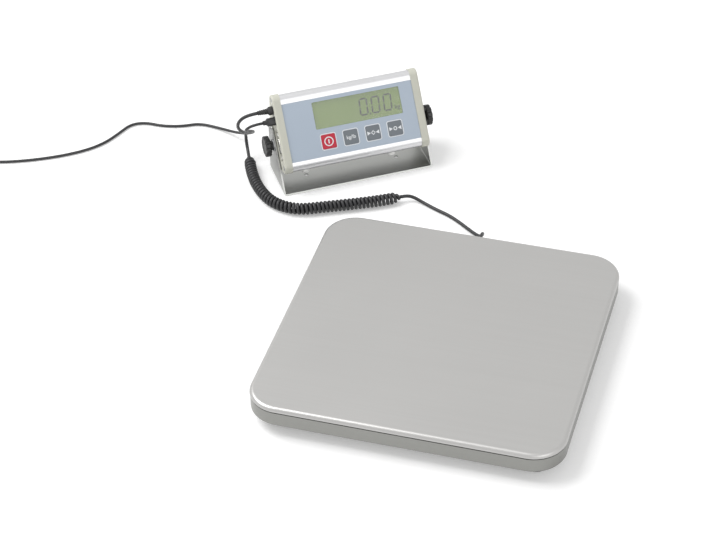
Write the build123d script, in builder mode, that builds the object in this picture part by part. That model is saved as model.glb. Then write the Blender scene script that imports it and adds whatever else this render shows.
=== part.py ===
from build123d import *
import math
import os

# Bench weighing scale: a low square platform on four load cells, and a display that tilts
# on a bent steel stand beside it. Millimetres, +Z up, the floor at Z 0.

os.makedirs("parts", exist_ok=True)

# Where the two units stand
platform_x = 52.74
platform_y = -96.65
stand_x = -99.36
stand_y = 152.85
stand_yaw = 33.6

# Load plate: a stainless pan turned upside down
plate_side = 300.0
plate_corner = 32.0
plate_sheet = 1.2
plate_rim = 4.4
plate_shoulder = 3.9
plate_gap = 1.0

# Base pan: an open stainless tray under the load plate
pan_side = 299.4
pan_wall = 15.6
pan_sheet = 1.2
pan_bend = 2.4
floor_gap = 12.5
bead_length = 150.0
bead_width = 8.0
bead_rise = 1.1
bead_spacing = 56.0

# Load cells, the rails that carry them and the buttons on them
cell_spacing = 184.0
cell_side = 34.0
cell_thick = 2.5
cell_slot = 2.2
cell_tongue = 15.0
cell_bore = 5.0
rail_width = 40.0
rail_height = 5.0
rail_sheet = 2.0
rail_overhang = 19.0
pad_rise = 1.2
pad_width = 6.0
button_dia = 12.0
button_neck = 4.8
channel_width = 40.0
channel_length = 256.0
rib_width = 20.0
rib_spacing = 120.0
screw_dia = 3.0
screw_head = 5.5
screw_head_high = 1.8
stop_dia = 8.0
stop_foot = 13.0
stop_foot_high = 3.5
stop_gap = 0.8

# Summing board on its pressed posts
board_length = 70.0
board_width = 40.0
board_thick = 1.6
board_y = 30.0
post_rise = 3.0
post_dia = 6.0
post_inset = 5.0
terminal_length = 25.0
terminal_deep = 7.6
terminal_high = 6.4

# Levelling feet
foot_inset = 27.7
foot_dia = 26.0
foot_height = 6.0
foot_lip = 2.6
foot_neck = 16.0
socket_deep = 3.5
stud_dia = 7.7
stud_bore = 8.0
stud_end = 8.0
stud_top = 24.0
stud_flats = 12.0
stud_hex_high = 2.5
nut_flats = 13.0
lock_nut_high = 3.5
weld_nut_high = 6.0
turning_gap = 0.2

# Cable gland in the rear wall
gland_thread = 8.0
gland_flats = 11.0
gland_hex = 3.0
gland_dome = 5.0
gland_dome_dia = 9.0
gland_nut_flats = 9.6
gland_rise = 7.0
gland_nut_high = 4.0

# Stand: one bent steel sheet, a base plate between two upright ears
stand_sheet = 1.5
stand_depth = 56.0
ear_height = 60.0
ear_round = 7.0
bend_inner = 0.8
stand_hole_dia = 4.5
stand_hole_spacing = 100.0
stand_hole_back = 28.0
pivot_back = 38.0
pivot_height = 40.5
pivot_hole = 6.6
lean = 35.0

# Display housing, seen from its side: the pivot lies below and behind the middle of the face
display_width = 159.0
face_height = 84.0
pivot_drop = 10.0
pivot_depth = 26.0
edge_depth = 12.0
body_depth = 40.0
back_top = 20.0
back_bottom = -20.0
cap_width = 8.5
cap_proud = 1.0
cap_wall = 2.5
cap_round = 2.0
front_round = 8.0
back_round = 6.0
housing_wall = 2.0
boss_dia = 6.5
boss_bore = 2.5
boss_inset = 4.8
rear_boss_spread = 14.0
slot_rib = 1.2
slot_gap = 2.0
slot_front = 13.3
slot_reach = 4.0

# Front panel: membrane, window and keys
panel_height = 61.8
panel_low = -21.7
panel_recess = 0.9
panel_thick = 0.8
panel_fit = 0.2
window_width = 95.4
window_height = 28.6
window_x = 8.7
window_y = 21.8
window_corner = 1.0
key_side = 15.4
key_pitch = 24.3
key_row_x = 8.4
key_row_y = -6.7
key_corner = 1.6
key_rise = 0.4
key_pad = 0.8
key_plunger = 10.0
key_hole = 12.0
key_travel = 0.4
key_soft_edge = 0.3

# Liquid crystal module, board and its parts
glass_width = 101.0
glass_height = 33.0
glass_thick = 2.0
light_width = 104.0
light_height = 36.0
light_gap = 0.1
circuit_inset = 13.5
circuit_low = -27.0
circuit_high = 44.2
circuit_thick = 1.6
switch_side = 6.0
switch_high = 3.5
switch_button = 3.4
chip_side = 12.0
chip_x = -12.0
chip_y = 18.0
driver_x = 18.0
driver_y = 14.0
driver_long = 18.0
driver_wide = 8.4
buzzer_x = 38.0
buzzer_y = 6.0
chip_high = 1.6
buzzer_dia = 12.0
buzzer_high = 7.0

# Knobs, washers and inserts on the pivot
knob_dia = 22.5
knob_thick = 6.2
knob_hub_dia = 10.0
knob_hub = 3.0
knob_flutes = 10
knob_flute_dia = 3.6
knob_edge = 0.9
washer_dia = 13.0
washer_thick = 1.0
knob_stud = 5.7
knob_reach = 8.0
insert_dia = 9.0
insert_bore = 6.0
insert_length = 10.0
insert_sunk = 0.3
pad_thick = 0.75
ear_gap = 0.05
pivot_boss_dia = 13.0

# Sockets and plugs on the left end
socket_front = 19.0
coil_socket_up = 36.0
coil_socket_dia = 9.4
socket_proud = 0.4
socket_bore = 5.6
socket_body = 5.0
socket_back = 2.0
coil_plug_dia = 9.0
coil_plug_long = 4.6
relief_long = 11.0
relief_thick = 6.6
relief_thin = 4.8
relief_ribs = 5
rib_cut = 0.8
dc_socket_up = 24.7
dc_socket_side = 9.2
dc_plug_side = 8.6
dc_plug_long = 8.6
dc_collar_dia = 5.0
dc_collar_long = 3.6
dc_barrel_dia = 5.5
dc_barrel_long = 4.0
port_up = -2.4
port_front = 16.0
port_length = 31.0
port_width = 12.6
port_pocket = 5.5
port_flange = 0.8
port_shell_long = 17.0
port_shell_wide = 8.4
port_shell_wall = 0.5
port_shell_high = 4.4
port_block = 8.0
port_slope = 80.0
jack_spacing = 25.0
jack_flats = 4.8
jack_high = 4.2
jack_bore = 2.8
pin_bore = 1.1
pin_pitch = 2.77
pin_rows = 2.84

# White bumpers under the display's lower edge
bumper_dia = 8.0
bumper_high = 2.8
bumper_front = 15.5
bumper_left = -56.3
bumper_right = 38.1

# Cords and the wall adapter
coil_wire = 3.6
coil_outer = 13.0
lead_dia = 3.0
plug_run = 12.0
collar_reach = 11.0
gland_run = 14.5
adapter_run = 11.0
lead_coil_x = -510.0
lead_coil_y = 62.0
lead_coil_radius = 16.5
lead_coil_wide = 9.2
lead_coil_high = 12.2
adapter_x = -524.0
adapter_y = 4.0
adapter_long = 66.0
adapter_wide = 40.0
adapter_high = 29.0
adapter_round = 4.0
adapter_relief = 10.0
adapter_relief_dia = 6.0
mains_pin_dia = 4.0
mains_pin_long = 18.0
mains_pin_spacing = 19.0

# Sizes that follow from the ones above
stand_inner = display_width + 2 * (pad_thick + ear_gap)
ear_outer = stand_inner / 2 + stand_sheet
circuit_width = display_width - 2 * circuit_inset
pan_floor = floor_gap + pan_sheet
pan_top = floor_gap + pan_wall
plate_bottom = pan_top + plate_gap
plate_top = plate_bottom + plate_rim
plate_under = plate_top - plate_sheet
rail_top = pan_floor + rail_height
cell_low = rail_top + pad_rise
cell_top = cell_low + cell_thick
foot_spacing = pan_side - 2 * foot_inset
channel_low = plate_under - 6.2
button_high = channel_low - cell_top

# Planes: the platform, the stand and the display that leans back on it
platform = Plane(origin=(platform_x, platform_y, 0))
stand = Plane(
    origin=(stand_x, stand_y, 0),
    x_dir=(math.cos(math.radians(stand_yaw)), math.sin(math.radians(stand_yaw)), 0),
    z_dir=(0, 0, 1),
)
pivot = stand.from_local_coords((0, pivot_back, pivot_height))
right = stand.x_dir
upward = stand.z_dir * math.cos(math.radians(lean)) + stand.y_dir * math.sin(math.radians(lean))
display = Plane(origin=pivot, x_dir=right, z_dir=right.cross(upward))
side = Plane(origin=pivot, x_dir=upward, z_dir=right)
side_axis = Axis(pivot, right)

# Side outline of the display, in (up, front) from the pivot
face_top = face_height / 2 + pivot_drop
face_bottom = pivot_drop - face_height / 2
face_front = pivot_depth
back_face = pivot_depth - body_depth
housing_length = display_width - 2 * cap_width
housing_front = face_front - cap_proud
panel_floor = housing_front - panel_recess
panel_top = panel_floor + panel_thick
boss_places = [
    (face_top - cap_proud - boss_inset, housing_front - boss_inset),
    (face_bottom + cap_proud + boss_inset, housing_front - boss_inset),
    (rear_boss_spread, back_face + cap_proud + boss_inset),
    (-rear_boss_spread, back_face + cap_proud + boss_inset),
]


def save(piece, label):
    """Names one finished piece and writes its STEP file."""
    piece.part.label = label
    export_step(piece.part, "parts/" + label + ".step")


def outward(hand, distance):
    """Plane square to the pivot axis, at this distance out; hand is 1 on the right, -1 on the left."""
    return Plane(origin=pivot + right * (hand * distance), x_dir=upward, z_dir=right * hand)


def display_outline(sketch, shrink):
    """Side outline of the display, each edge moved inwards by shrink, its corners rounded."""
    Polygon(
        (face_bottom, face_front),
        (face_top, face_front),
        (face_top, face_front - edge_depth),
        (back_top, back_face),
        (back_bottom, back_face),
        (face_bottom, face_front - edge_depth),
        align=None,
    )
    if shrink > 0:
        offset(amount=-shrink, kind=Kind.INTERSECTION)
    levels = sketch.vertices().group_by(Axis.Y)
    fillet(levels[-1], front_round - shrink)
    levels = sketch.vertices().group_by(Axis.Y)
    fillet(levels[0], back_round - shrink / 2)


# Load plate: a drawn pan with a rounded shoulder
with BuildPart() as load_plate:
    with BuildSketch(platform.offset(plate_bottom)):
        RectangleRounded(plate_side, plate_side, plate_corner)
    extrude(amount=plate_rim)
    fillet(load_plate.faces().sort_by(Axis.Z)[-1].edges(), plate_shoulder)
    offset(amount=-plate_sheet, openings=load_plate.faces().sort_by(Axis.Z)[0])
save(load_plate, "load_plate")

# Plate frame: two channels over the load cells and two ribs between them, spot-welded under the plate
with BuildPart() as plate_frame:
    with BuildSketch(platform.offset(channel_low)):
        with GridLocations(0, cell_spacing, 1, 2):
            Rectangle(channel_length, channel_width)
        with GridLocations(rib_spacing, 0, 2, 1):
            Rectangle(rib_width, cell_spacing)
    extrude(amount=plate_under - channel_low)
    with BuildSketch(platform.offset(channel_low + plate_sheet)):
        with GridLocations(0, cell_spacing, 1, 2):
            Rectangle(channel_length, channel_width - 2 * plate_sheet)
        with GridLocations(rib_spacing, 0, 2, 1):
            Rectangle(rib_width - 2 * plate_sheet, cell_spacing - channel_width)
    extrude(amount=plate_under - channel_low, mode=Mode.SUBTRACT)
save(plate_frame, "plate_frame")

# Base pan: tray with a bent lower edge, pressed beads, board posts and holes
with BuildPart() as base_pan:
    with BuildSketch(platform.offset(floor_gap)):
        RectangleRounded(pan_side, pan_side, plate_corner)
    extrude(amount=pan_wall)
    fillet(base_pan.faces().sort_by(Axis.Z)[0].edges(), pan_bend)
    offset(amount=-pan_sheet, openings=base_pan.faces().sort_by(Axis.Z)[-1])
    with BuildSketch(platform.offset(pan_floor)):
        with Locations((0, -cell_spacing / 4)):
            with GridLocations(bead_spacing, 0, 3, 1):
                SlotOverall(bead_length / 2, bead_width, rotation=90)
    extrude(amount=bead_rise, taper=30)
    with BuildSketch(platform.offset(floor_gap)):
        with Locations((0, -cell_spacing / 4)):
            with GridLocations(bead_spacing, 0, 3, 1):
                SlotOverall(bead_length / 2 - pan_sheet, bead_width - pan_sheet, rotation=90)
    extrude(amount=bead_rise, taper=30, mode=Mode.SUBTRACT)
    with BuildSketch(platform.offset(pan_floor)):
        with Locations((0, board_y)):
            with GridLocations(board_length - 2 * post_inset, board_width - 2 * post_inset, 2, 2):
                Circle(post_dia / 2)
    extrude(amount=post_rise)
    with BuildSketch(platform.offset(floor_gap)):
        with GridLocations(foot_spacing, foot_spacing, 2, 2):
            Circle(stud_bore / 2)
    extrude(amount=pan_sheet, mode=Mode.SUBTRACT)
    gland_height = floor_gap + gland_rise
    rear_wall = Plane(
        origin=(platform_x, platform_y + pan_side / 2, gland_height), x_dir=(-1, 0, 0), z_dir=(0, 1, 0)
    )
    with BuildSketch(rear_wall):
        Circle(gland_thread / 2)
    extrude(amount=-pan_sheet * 2, mode=Mode.SUBTRACT)
save(base_pan, "base_pan")

# Base rails: two turned-down channels with raised pads that hold each cell by its outer frame
with BuildPart() as base_rails:
    with BuildSketch(platform.offset(pan_floor)):
        with GridLocations(cell_spacing, 0, 2, 1):
            Rectangle(rail_width, cell_spacing + 2 * rail_overhang)
    extrude(amount=rail_height)
    with BuildSketch(platform.offset(pan_floor)):
        with GridLocations(cell_spacing, 0, 2, 1):
            Rectangle(rail_width - 2 * rail_sheet, cell_spacing + 2 * rail_overhang)
    extrude(amount=rail_height - rail_sheet, mode=Mode.SUBTRACT)
    with BuildSketch(platform.offset(rail_top)):
        with GridLocations(cell_spacing, cell_spacing, 2, 2):
            with GridLocations(0, cell_side - pad_width, 1, 2):
                Rectangle(cell_side, pad_width)
    extrude(amount=pad_rise)
    with BuildSketch(platform.offset(rail_top - rail_sheet)):
        with GridLocations(cell_spacing, cell_spacing, 2, 2):
            with GridLocations(0, cell_side - pad_width, 1, 2):
                Circle(screw_dia / 2)
    extrude(amount=rail_sheet + pad_rise, mode=Mode.SUBTRACT)
save(base_rails, "base_rails")


# Load cells: steel plates whose slot leaves a tongue that bends under the button
def load_cell(label, x_hand, y_hand):
    centre = platform.from_local_coords((x_hand * cell_spacing / 2, y_hand * cell_spacing / 2, cell_low))
    seat = Plane(origin=centre, x_dir=(-x_hand, 0, 0), z_dir=(0, 0, 1))
    slot_long = cell_side - 2 * pad_width
    with BuildPart() as cell:
        with BuildSketch(seat):
            RectangleRounded(cell_side, cell_side, 2.5)
            with GridLocations(0, cell_tongue + cell_slot, 1, 2):
                Rectangle(slot_long, cell_slot, mode=Mode.SUBTRACT)
            with Locations((slot_long / 2 - cell_slot / 2, 0)):
                Rectangle(cell_slot, cell_tongue + cell_slot, mode=Mode.SUBTRACT)
            with GridLocations(0, cell_side - pad_width, 1, 2):
                Circle(screw_dia / 2, mode=Mode.SUBTRACT)
            Circle(cell_bore / 2, mode=Mode.SUBTRACT)
        extrude(amount=cell_thick)
    save(cell, label)


load_cell("load_cell_front_left", -1, -1)
load_cell("load_cell_front_right", 1, -1)
load_cell("load_cell_rear_left", -1, 1)
load_cell("load_cell_rear_right", 1, 1)

# Cell screws: two on each cell, through its frame into the rail
with BuildPart() as cell_screws:
    with BuildSketch(platform.offset(rail_top - rail_sheet)):
        with GridLocations(cell_spacing, cell_spacing, 2, 2):
            with GridLocations(0, cell_side - pad_width, 1, 2):
                Circle(screw_dia / 2)
    extrude(amount=cell_top - rail_top + rail_sheet)
    with BuildSketch(platform.offset(cell_top)):
        with GridLocations(cell_spacing, cell_spacing, 2, 2):
            with GridLocations(0, cell_side - pad_width, 1, 2):
                Circle(screw_head / 2)
    extrude(amount=screw_head_high)
save(cell_screws, "cell_screws")

# Load buttons: rubber pads on the tongues, under the plate's channels
with BuildPart() as load_buttons:
    with BuildSketch(platform.offset(cell_top)):
        with GridLocations(cell_spacing, cell_spacing, 2, 2):
            Circle(button_dia / 2)
    extrude(amount=button_high)
    with BuildSketch(platform.offset(cell_low + 0.5)):
        with GridLocations(cell_spacing, cell_spacing, 2, 2):
            Circle(button_neck / 2)
    extrude(amount=cell_thick)
save(load_buttons, "load_buttons")

# Overload stops: screws that catch the plate's frame before the cells bend too far
with BuildPart() as overload_stops:
    with BuildSketch(platform.offset(pan_floor)):
        with GridLocations(rib_spacing, 0, 2, 1):
            RegularPolygon(stop_foot / 2, 6, major_radius=False)
        with GridLocations(0, cell_spacing, 1, 2):
            RegularPolygon(stop_foot / 2, 6, major_radius=False)
    extrude(amount=stop_foot_high)
    with BuildSketch(platform.offset(pan_floor)):
        with GridLocations(rib_spacing, 0, 2, 1):
            Circle(stop_dia / 2)
        with GridLocations(0, cell_spacing, 1, 2):
            Circle(stop_dia / 2)
    extrude(amount=channel_low - stop_gap - pan_floor)
    chamfer(overload_stops.faces().group_by(Axis.Z)[-1].edges(), 0.6)
save(overload_stops, "overload_stops")

# Summing board and its terminal blocks
board_low = pan_floor + post_rise
with BuildPart() as summing_board:
    with BuildSketch(platform.offset(board_low)):
        with Locations((0, board_y)):
            RectangleRounded(board_length, board_width, 2)
    extrude(amount=board_thick)
save(summing_board, "summing_board")

with BuildPart() as terminal_blocks:
    with BuildSketch(platform.offset(board_low + board_thick)):
        with Locations((0, board_y)):
            with GridLocations(terminal_length + 4, board_width - terminal_deep - 4, 2, 2):
                Rectangle(terminal_length, terminal_deep)
    extrude(amount=terminal_high)
    chamfer(terminal_blocks.faces().group_by(Axis.Z)[-1].edges().filter_by(Axis.X), 1.4)
    with BuildSketch(platform.offset(board_low + board_thick + terminal_high)):
        with Locations((0, board_y)):
            with GridLocations(terminal_length + 4, board_width - terminal_deep - 4, 2, 2):
                with GridLocations(terminal_length / 5, 0, 5, 1):
                    Circle(1.3)
    extrude(amount=-1.5, mode=Mode.SUBTRACT)
save(terminal_blocks, "terminal_blocks")


# Levelling feet: a rubber pad that stays on the floor and a stud that screws through the pan
def levelling_foot(place, x_hand, y_hand):
    spot = platform.from_local_coords((x_hand * foot_spacing / 2, y_hand * foot_spacing / 2, 0))
    upright = Plane(origin=spot, x_dir=(1, 0, 0), z_dir=(0, -1, 0))
    with BuildPart() as pad:
        with BuildSketch(upright):
            with BuildLine():
                Polyline(
                    (0, 0),
                    (foot_dia / 2, 0),
                    (foot_dia / 2, foot_lip),
                    (foot_neck / 2, foot_height),
                    (stud_end / 2 + turning_gap, foot_height),
                    (stud_end / 2 + turning_gap, foot_height - socket_deep),
                    (0, foot_height - socket_deep),
                    close=True,
                )
            make_face()
        revolve(axis=Axis(spot, (0, 0, 1)))
        fillet(pad.edges().filter_by(GeomType.CIRCLE).group_by(Axis.Z)[0], 0.8)
    save(pad, "foot_pad_" + place)
    with BuildPart() as stud:
        with BuildSketch(Plane(origin=spot + Vector(0, 0, foot_height - socket_deep))):
            Circle(stud_end / 2)
        extrude(amount=socket_deep + turning_gap)
        with BuildSketch(Plane(origin=spot + Vector(0, 0, foot_height + turning_gap))):
            RegularPolygon(stud_flats / 2, 6, major_radius=False)
        extrude(amount=stud_hex_high)
        with BuildSketch(Plane(origin=spot + Vector(0, 0, foot_height + turning_gap))):
            Circle(stud_dia / 2)
        extrude(amount=stud_top - foot_height - turning_gap)
        chamfer(stud.faces().sort_by(Axis.Z)[-1].edges(), 0.8)
    save(stud, "foot_stud_" + place)


levelling_foot("front_left", -1, -1)
levelling_foot("front_right", 1, -1)
levelling_foot("rear_left", -1, 1)
levelling_foot("rear_right", 1, 1)

# Foot nuts: a lock nut under the pan and a weld nut on its floor, at each foot
with BuildPart() as foot_nuts:
    with BuildSketch(platform.offset(floor_gap - lock_nut_high)):
        with GridLocations(foot_spacing, foot_spacing, 2, 2):
            RegularPolygon(nut_flats / 2, 6, major_radius=False)
            Circle(stud_bore / 2, mode=Mode.SUBTRACT)
    extrude(amount=lock_nut_high)
    with BuildSketch(platform.offset(pan_floor)):
        with GridLocations(foot_spacing, foot_spacing, 2, 2):
            RegularPolygon(nut_flats / 2, 6, major_radius=False)
            Circle(stud_bore / 2, mode=Mode.SUBTRACT)
    extrude(amount=weld_nut_high)
save(foot_nuts, "foot_nuts")

# Cable gland: hexagon and domed clamp outside the rear wall, lock nut inside it
with BuildPart() as cable_gland:
    with BuildSketch(rear_wall):
        RegularPolygon(gland_flats / 2, 6, major_radius=False)
    extrude(amount=gland_hex)
    with BuildSketch(rear_wall.offset(gland_hex)):
        Circle(gland_dome_dia / 2)
    extrude(amount=gland_dome)
    fillet(cable_gland.faces().sort_by(Axis.Y)[-1].edges(), 1.8)
    with BuildSketch(rear_wall):
        Circle(gland_thread / 2)
    extrude(amount=-(pan_sheet + gland_nut_high + 1))
    with BuildSketch(rear_wall.offset(-pan_sheet)):
        RegularPolygon(gland_nut_flats / 2, 6, major_radius=False)
    extrude(amount=-gland_nut_high)
save(cable_gland, "cable_gland")

# Stand: the sheet is bent up at both ends, then the ears are cut to their leaning outline
with BuildPart() as stand_bracket:
    with BuildSketch(Plane(origin=stand.origin, x_dir=right, z_dir=-stand.y_dir)) as front_view:
        with Locations((0, ear_height / 2)):
            Rectangle(2 * ear_outer, ear_height)
        fillet(front_view.vertices().group_by(Axis.Y)[0], bend_inner + stand_sheet)
    extrude(amount=-stand_depth)
    with BuildSketch(Plane(origin=stand.origin, x_dir=right, z_dir=-stand.y_dir)) as gap_view:
        with Locations((0, stand_sheet + ear_height / 2)):
            Rectangle(stand_inner, ear_height)
        fillet(gap_view.vertices().group_by(Axis.Y)[0], bend_inner)
    extrude(amount=-stand_depth, mode=Mode.SUBTRACT)
    front_slope = math.tan(math.radians(lean))
    with BuildSketch(Plane(origin=stand.origin, x_dir=stand.y_dir, z_dir=right)) as ear_view:
        with BuildLine():
            Polyline(
                (0, 0),
                (ear_height * front_slope, ear_height),
                (stand_depth, ear_height),
                (stand_depth, 0),
                close=True,
            )
        make_face()
        fillet(ear_view.vertices().group_by(Axis.Y)[-1], ear_round - 2)
        with Locations((pivot_back, pivot_height)):
            Circle(pivot_hole / 2, mode=Mode.SUBTRACT)
    extrude(amount=ear_outer + 1, both=True, mode=Mode.INTERSECT)
    with BuildSketch(stand):
        with Locations((0, stand_hole_back)):
            with GridLocations(stand_hole_spacing, 0, 2, 1):
                Circle(stand_hole_dia / 2)
    extrude(amount=stand_sheet, mode=Mode.SUBTRACT)
save(stand_bracket, "stand_bracket")

# Housing: an aluminium extrusion with screw channels, board slots and a recess for the panel
section = side.offset(-housing_length / 2)
with BuildPart() as housing:
    with BuildSketch(section) as outer_view:
        display_outline(outer_view, cap_proud)
    extrude(amount=housing_length)
    with BuildSketch(section) as hollow_view:
        display_outline(hollow_view, cap_proud + housing_wall)
    extrude(amount=housing_length, mode=Mode.SUBTRACT)
    with BuildSketch(section):
        with Locations(*boss_places):
            Circle(boss_dia / 2)
        for level in (slot_front, slot_front - slot_gap - slot_rib):
            with Locations((face_bottom + cap_proud + housing_wall / 2, level)):
                Rectangle(slot_reach, slot_rib, align=(Align.MIN, Align.MIN))
        with Locations((circuit_high - slot_reach / 2, slot_front)):
            Rectangle(6.0, slot_rib, align=(Align.MIN, Align.MIN))
        with Locations((circuit_high - slot_reach / 2, slot_front - slot_gap - slot_rib)):
            Rectangle(3.2, slot_rib, align=(Align.MIN, Align.MIN))
    extrude(amount=housing_length)
    with BuildSketch(section):
        with Locations(*boss_places):
            Circle(boss_bore / 2)
        with Locations((panel_low + panel_height / 2, panel_floor + 2)):
            Rectangle(panel_height, 4)
    extrude(amount=housing_length, mode=Mode.SUBTRACT)
    with BuildSketch(display.offset(panel_floor)):
        with Locations((window_x, window_y)):
            Rectangle(window_width, window_height)
        with Locations((key_row_x, key_row_y)):
            with GridLocations(key_pitch, 0, 4, 1):
                RectangleRounded(key_hole, key_hole, 1)
    extrude(amount=-housing_wall, mode=Mode.SUBTRACT)
save(housing, "housing")


# End caps: moulded covers, hollow inside, with pillars for the screws and the pivot insert
def end_cap(label, hand):
    with BuildPart() as cap:
        with BuildSketch(side.offset(housing_length / 2)) as cap_view:
            display_outline(cap_view, 0)
        extrude(amount=cap_width)
        fillet(cap.faces().sort_by(side_axis)[-1].edges(), cap_round)
        with BuildSketch(side.offset(housing_length / 2)) as cavity_view:
            display_outline(cavity_view, cap_proud + housing_wall + 0.4)
            with Locations(*boss_places):
                Circle(boss_dia / 2 + 0.8, mode=Mode.SUBTRACT)
            Circle(pivot_boss_dia / 2, mode=Mode.SUBTRACT)
            if hand < 0:
                with Locations((port_up, port_front)):
                    Rectangle(port_length + 4, port_width + 4, mode=Mode.SUBTRACT)
        extrude(amount=cap_width - cap_wall, mode=Mode.SUBTRACT)
        with BuildSketch(side.offset(housing_length / 2)):
            Circle(insert_dia / 2)
            with Locations(*boss_places):
                Circle(screw_dia / 2)
        extrude(amount=cap_width, mode=Mode.SUBTRACT)
        with BuildSketch(side.offset(display_width / 2 - screw_head_high)):
            with Locations(*boss_places):
                Circle(screw_head / 2)
        extrude(amount=screw_head_high, mode=Mode.SUBTRACT)
        if hand < 0:
            with BuildSketch(side.offset(display_width / 2 - port_pocket)):
                with Locations((port_up, port_front)):
                    RectangleRounded(port_length + 0.6, port_width + 0.6, 1)
            extrude(amount=port_pocket, mode=Mode.SUBTRACT)
            with BuildSketch(side.offset(housing_length / 2)):
                with Locations((port_up, port_front)):
                    Rectangle(port_shell_long + 0.4, port_shell_wide + 0.4)
                with Locations((coil_socket_up, socket_front)):
                    Circle(coil_socket_dia / 2)
                with Locations((dc_socket_up, socket_front)):
                    RectangleRounded(dc_socket_side, dc_socket_side, 1)
            extrude(amount=cap_width, mode=Mode.SUBTRACT)
            mirror(about=side, mode=Mode.REPLACE)
    save(cap, label)


end_cap("end_cap_left", -1)
end_cap("end_cap_right", 1)

# Cap screws: four at each end, into the housing's screw channels
with BuildPart() as cap_screws:
    for hand in (1, -1):
        flush = outward(hand, display_width / 2)
        with BuildSketch(flush.offset(-screw_head_high)):
            with Locations(*[(up, front * hand) for up, front in boss_places]):
                Circle(screw_head / 2 - 0.05)
        extrude(amount=screw_head_high - 0.1)
        with BuildSketch(flush.offset(-screw_head_high)):
            with Locations(*[(up, front * hand) for up, front in boss_places]):
                Circle(boss_bore / 2)
        extrude(amount=-(cap_width + 5))
        with BuildSketch(flush.offset(-0.1)):
            with Locations(*[(up, front * hand) for up, front in boss_places]):
                Rectangle(3, 0.7)
                Rectangle(0.7, 3)
        extrude(amount=-0.9, mode=Mode.SUBTRACT)
save(cap_screws, "cap_screws")

# Knob inserts: threaded brass bushes moulded into the caps on the pivot axis
with BuildPart() as knob_inserts:
    for hand in (1, -1):
        with BuildSketch(outward(hand, display_width / 2 - insert_sunk)):
            Circle(insert_dia / 2)
            Circle(insert_bore / 2, mode=Mode.SUBTRACT)
        extrude(amount=-insert_length)
save(knob_inserts, "knob_inserts")

# Pivot pads: thin rubber rings between the caps and the stand's ears
with BuildPart() as pivot_pads:
    for hand in (1, -1):
        with BuildSketch(outward(hand, display_width / 2)):
            Circle(washer_dia / 2)
            Circle(pivot_hole / 2, mode=Mode.SUBTRACT)
        extrude(amount=pad_thick)
save(pivot_pads, "pivot_pads")


# Knobs and washers: each knob's stud passes the ear and screws into the insert
def knob(place, hand):
    seat = outward(hand, ear_outer + ear_gap)
    with BuildPart() as washer:
        with BuildSketch(seat):
            Circle(washer_dia / 2)
            Circle(pivot_hole / 2, mode=Mode.SUBTRACT)
        extrude(amount=washer_thick)
    save(washer, "knob_washer_" + place)
    with BuildPart() as grip:
        with BuildSketch(seat.offset(washer_thick)):
            Circle(knob_hub_dia / 2)
        extrude(amount=knob_hub)
        with BuildSketch(seat.offset(washer_thick + knob_hub)):
            Circle(knob_dia / 2)
            with PolarLocations(knob_dia / 2 + knob_flute_dia * 0.18, knob_flutes):
                Circle(knob_flute_dia / 2, mode=Mode.SUBTRACT)
        extrude(amount=knob_thick)
        rim = grip.faces().sort_by(Axis(pivot, right * hand))[-1].edges()
        chamfer(rim, knob_edge)
        with BuildSketch(seat.offset(washer_thick)):
            Circle(knob_stud / 2)
        extrude(amount=-(washer_thick + ear_gap + ear_outer - display_width / 2 + knob_reach))
    save(grip, "knob_" + place)


knob("left", -1)
knob("right", 1)

# Membrane panel: printed polyester sheet in the recess, cut for the window and the keys
panel_length = housing_length - panel_fit
with BuildPart() as membrane_panel:
    with BuildSketch(display.offset(panel_floor)):
        with Locations((0, panel_low + panel_height / 2)):
            Rectangle(panel_length, panel_height - panel_fit)
        with Locations((window_x, window_y)):
            RectangleRounded(window_width, window_height, window_corner, mode=Mode.SUBTRACT)
        with Locations((key_row_x, key_row_y)):
            with GridLocations(key_pitch, 0, 4, 1):
                RectangleRounded(key_side, key_side, key_corner, mode=Mode.SUBTRACT)
    extrude(amount=panel_thick)
save(membrane_panel, "membrane_panel")

# Window: clear pane flush with the membrane, on a ledge of the glass below it
with BuildPart() as lcd_window:
    with BuildSketch(display.offset(panel_floor)):
        with Locations((window_x, window_y)):
            RectangleRounded(window_width - panel_fit, window_height - panel_fit, window_corner)
    extrude(amount=panel_thick)
save(lcd_window, "lcd_window")


# Keys: soft pads that stand a little above the membrane, each with a plunger behind it
def key(label, place):
    centre_x = key_row_x + (place - 1.5) * key_pitch
    with BuildPart() as pad:
        with BuildSketch(display.offset(panel_top + key_rise - key_pad)):
            with Locations((centre_x, key_row_y)):
                RectangleRounded(key_side - panel_fit, key_side - panel_fit, key_corner)
        extrude(amount=key_pad)
        chamfer(pad.faces().sort_by(Axis(pivot, display.z_dir))[-1].edges(), key_soft_edge)
        with BuildSketch(display.offset(panel_top + key_rise - key_pad)):
            with Locations((centre_x, key_row_y)):
                RectangleRounded(key_plunger, key_plunger, key_corner)
        extrude(amount=-(key_travel + housing_wall))
    save(pad, label)


key("power_key", 0)
key("unit_key", 1)
key("hold_key", 2)
key("zero_key", 3)

# Liquid crystal glass and the light box behind it
glass_front = housing_front - housing_wall - light_gap
circuit_front = slot_front - (slot_gap - circuit_thick) / 2
with BuildPart() as lcd_glass:
    with BuildSketch(display.offset(glass_front)):
        with Locations((window_x, window_y)):
            Rectangle(glass_width, glass_height)
    extrude(amount=-glass_thick)
save(lcd_glass, "lcd_glass")

with BuildPart() as lcd_backlight:
    with BuildSketch(display.offset(circuit_front)):
        with Locations((window_x, window_y)):
            RectangleRounded(light_width, light_height, 1.5)
    extrude(amount=glass_front - glass_thick - circuit_front)
save(lcd_backlight, "lcd_backlight")

# Circuit board in the housing's slots, with the key switches and main parts on it
with BuildPart() as circuit_board:
    with BuildSketch(display.offset(circuit_front)):
        with Locations((0, (circuit_low + circuit_high) / 2)):
            Rectangle(circuit_width, circuit_high - circuit_low)
    extrude(amount=-circuit_thick)
save(circuit_board, "circuit_board")

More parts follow.
